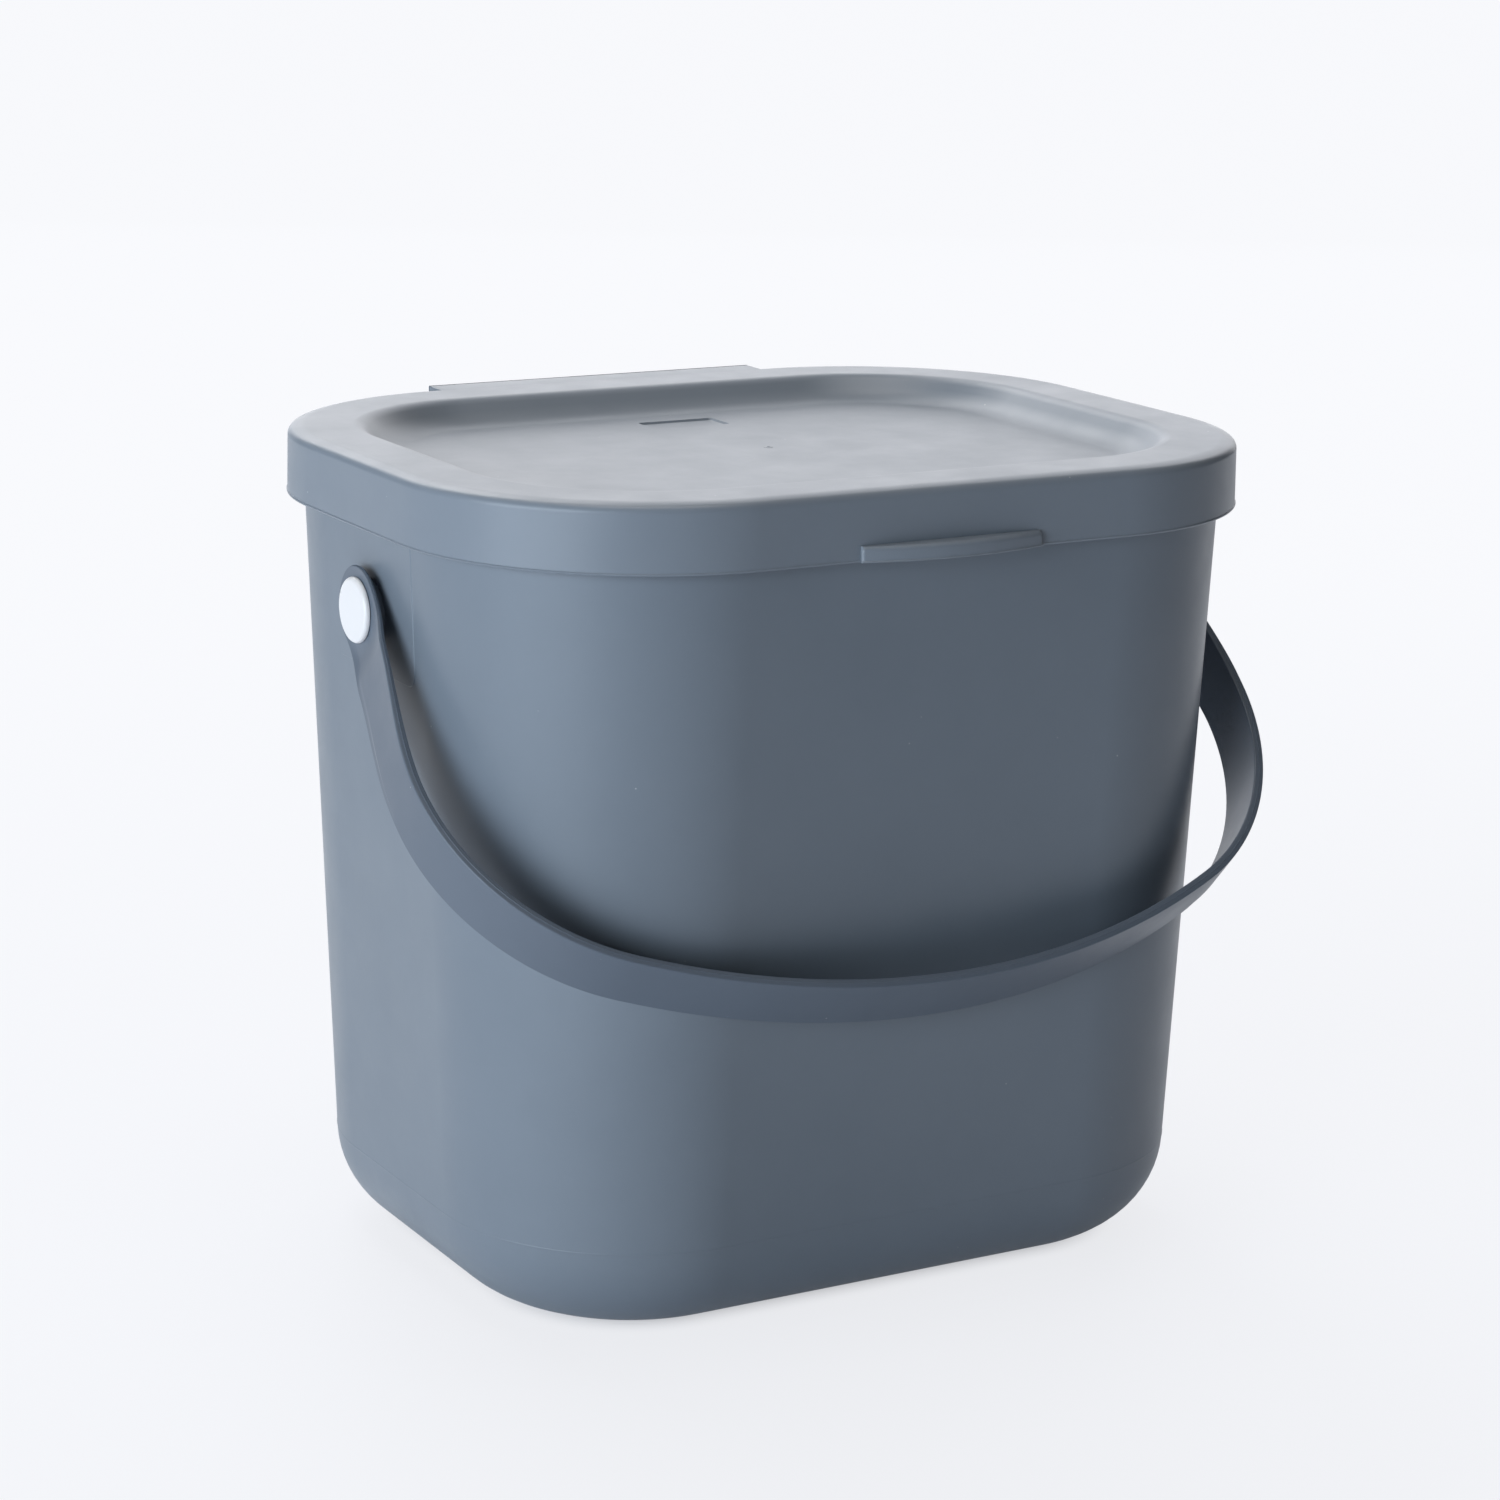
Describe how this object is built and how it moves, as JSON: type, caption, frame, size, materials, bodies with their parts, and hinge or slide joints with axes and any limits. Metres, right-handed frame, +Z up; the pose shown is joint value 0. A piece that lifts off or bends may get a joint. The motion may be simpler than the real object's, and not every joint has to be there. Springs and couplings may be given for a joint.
{
  "type": "compost caddy with hinged lid",
  "caption": "Rounded rectangular countertop compost caddy with a clip-on hinged lid, a lifting tab and a swinging bail handle on two barbed pivot pins.",
  "frame": {"origin": "middle of the bucket's flat underside, on the surface the caddy stands on, under the middle of the lid", "axes": "+Z up; -Y towards the front, where the lifting tab and the resting handle are; +Y towards the hinge; +X to the right seen from the front, along the hinge and handle axes"},
  "size_m": [0.237, 0.1948, 0.208],
  "materials": {
    "bucket_plastic": "satin slate grey, fine moulded texture",
    "lid_plastic": "satin slate grey, fine moulded texture",
    "handle_plastic": "satin slate grey, smooth",
    "pin_plastic": "smooth white"
  },
  "bodies": {
    "bucket": {"bucket": "bucket_plastic", "left_pivot_pin": "pin_plastic", "right_pivot_pin": "pin_plastic"},
    "lid": {"lid": "lid_plastic"},
    "handle": {"handle": "handle_plastic"}
  },
  "joints": [
    {"name": "lid_hinge", "type": "hinge", "parent": "bucket", "child": "lid", "pos_m": [0, 0.09, 0.186], "axis": [-1, 0, 0], "range_deg": [0, 105]},
    {"name": "handle_swing", "type": "hinge", "parent": "bucket", "child": "handle", "pos_m": [0, 0, 0.171], "axis": [-1, 0, 0], "range_deg": [0, 264]}
  ]
}
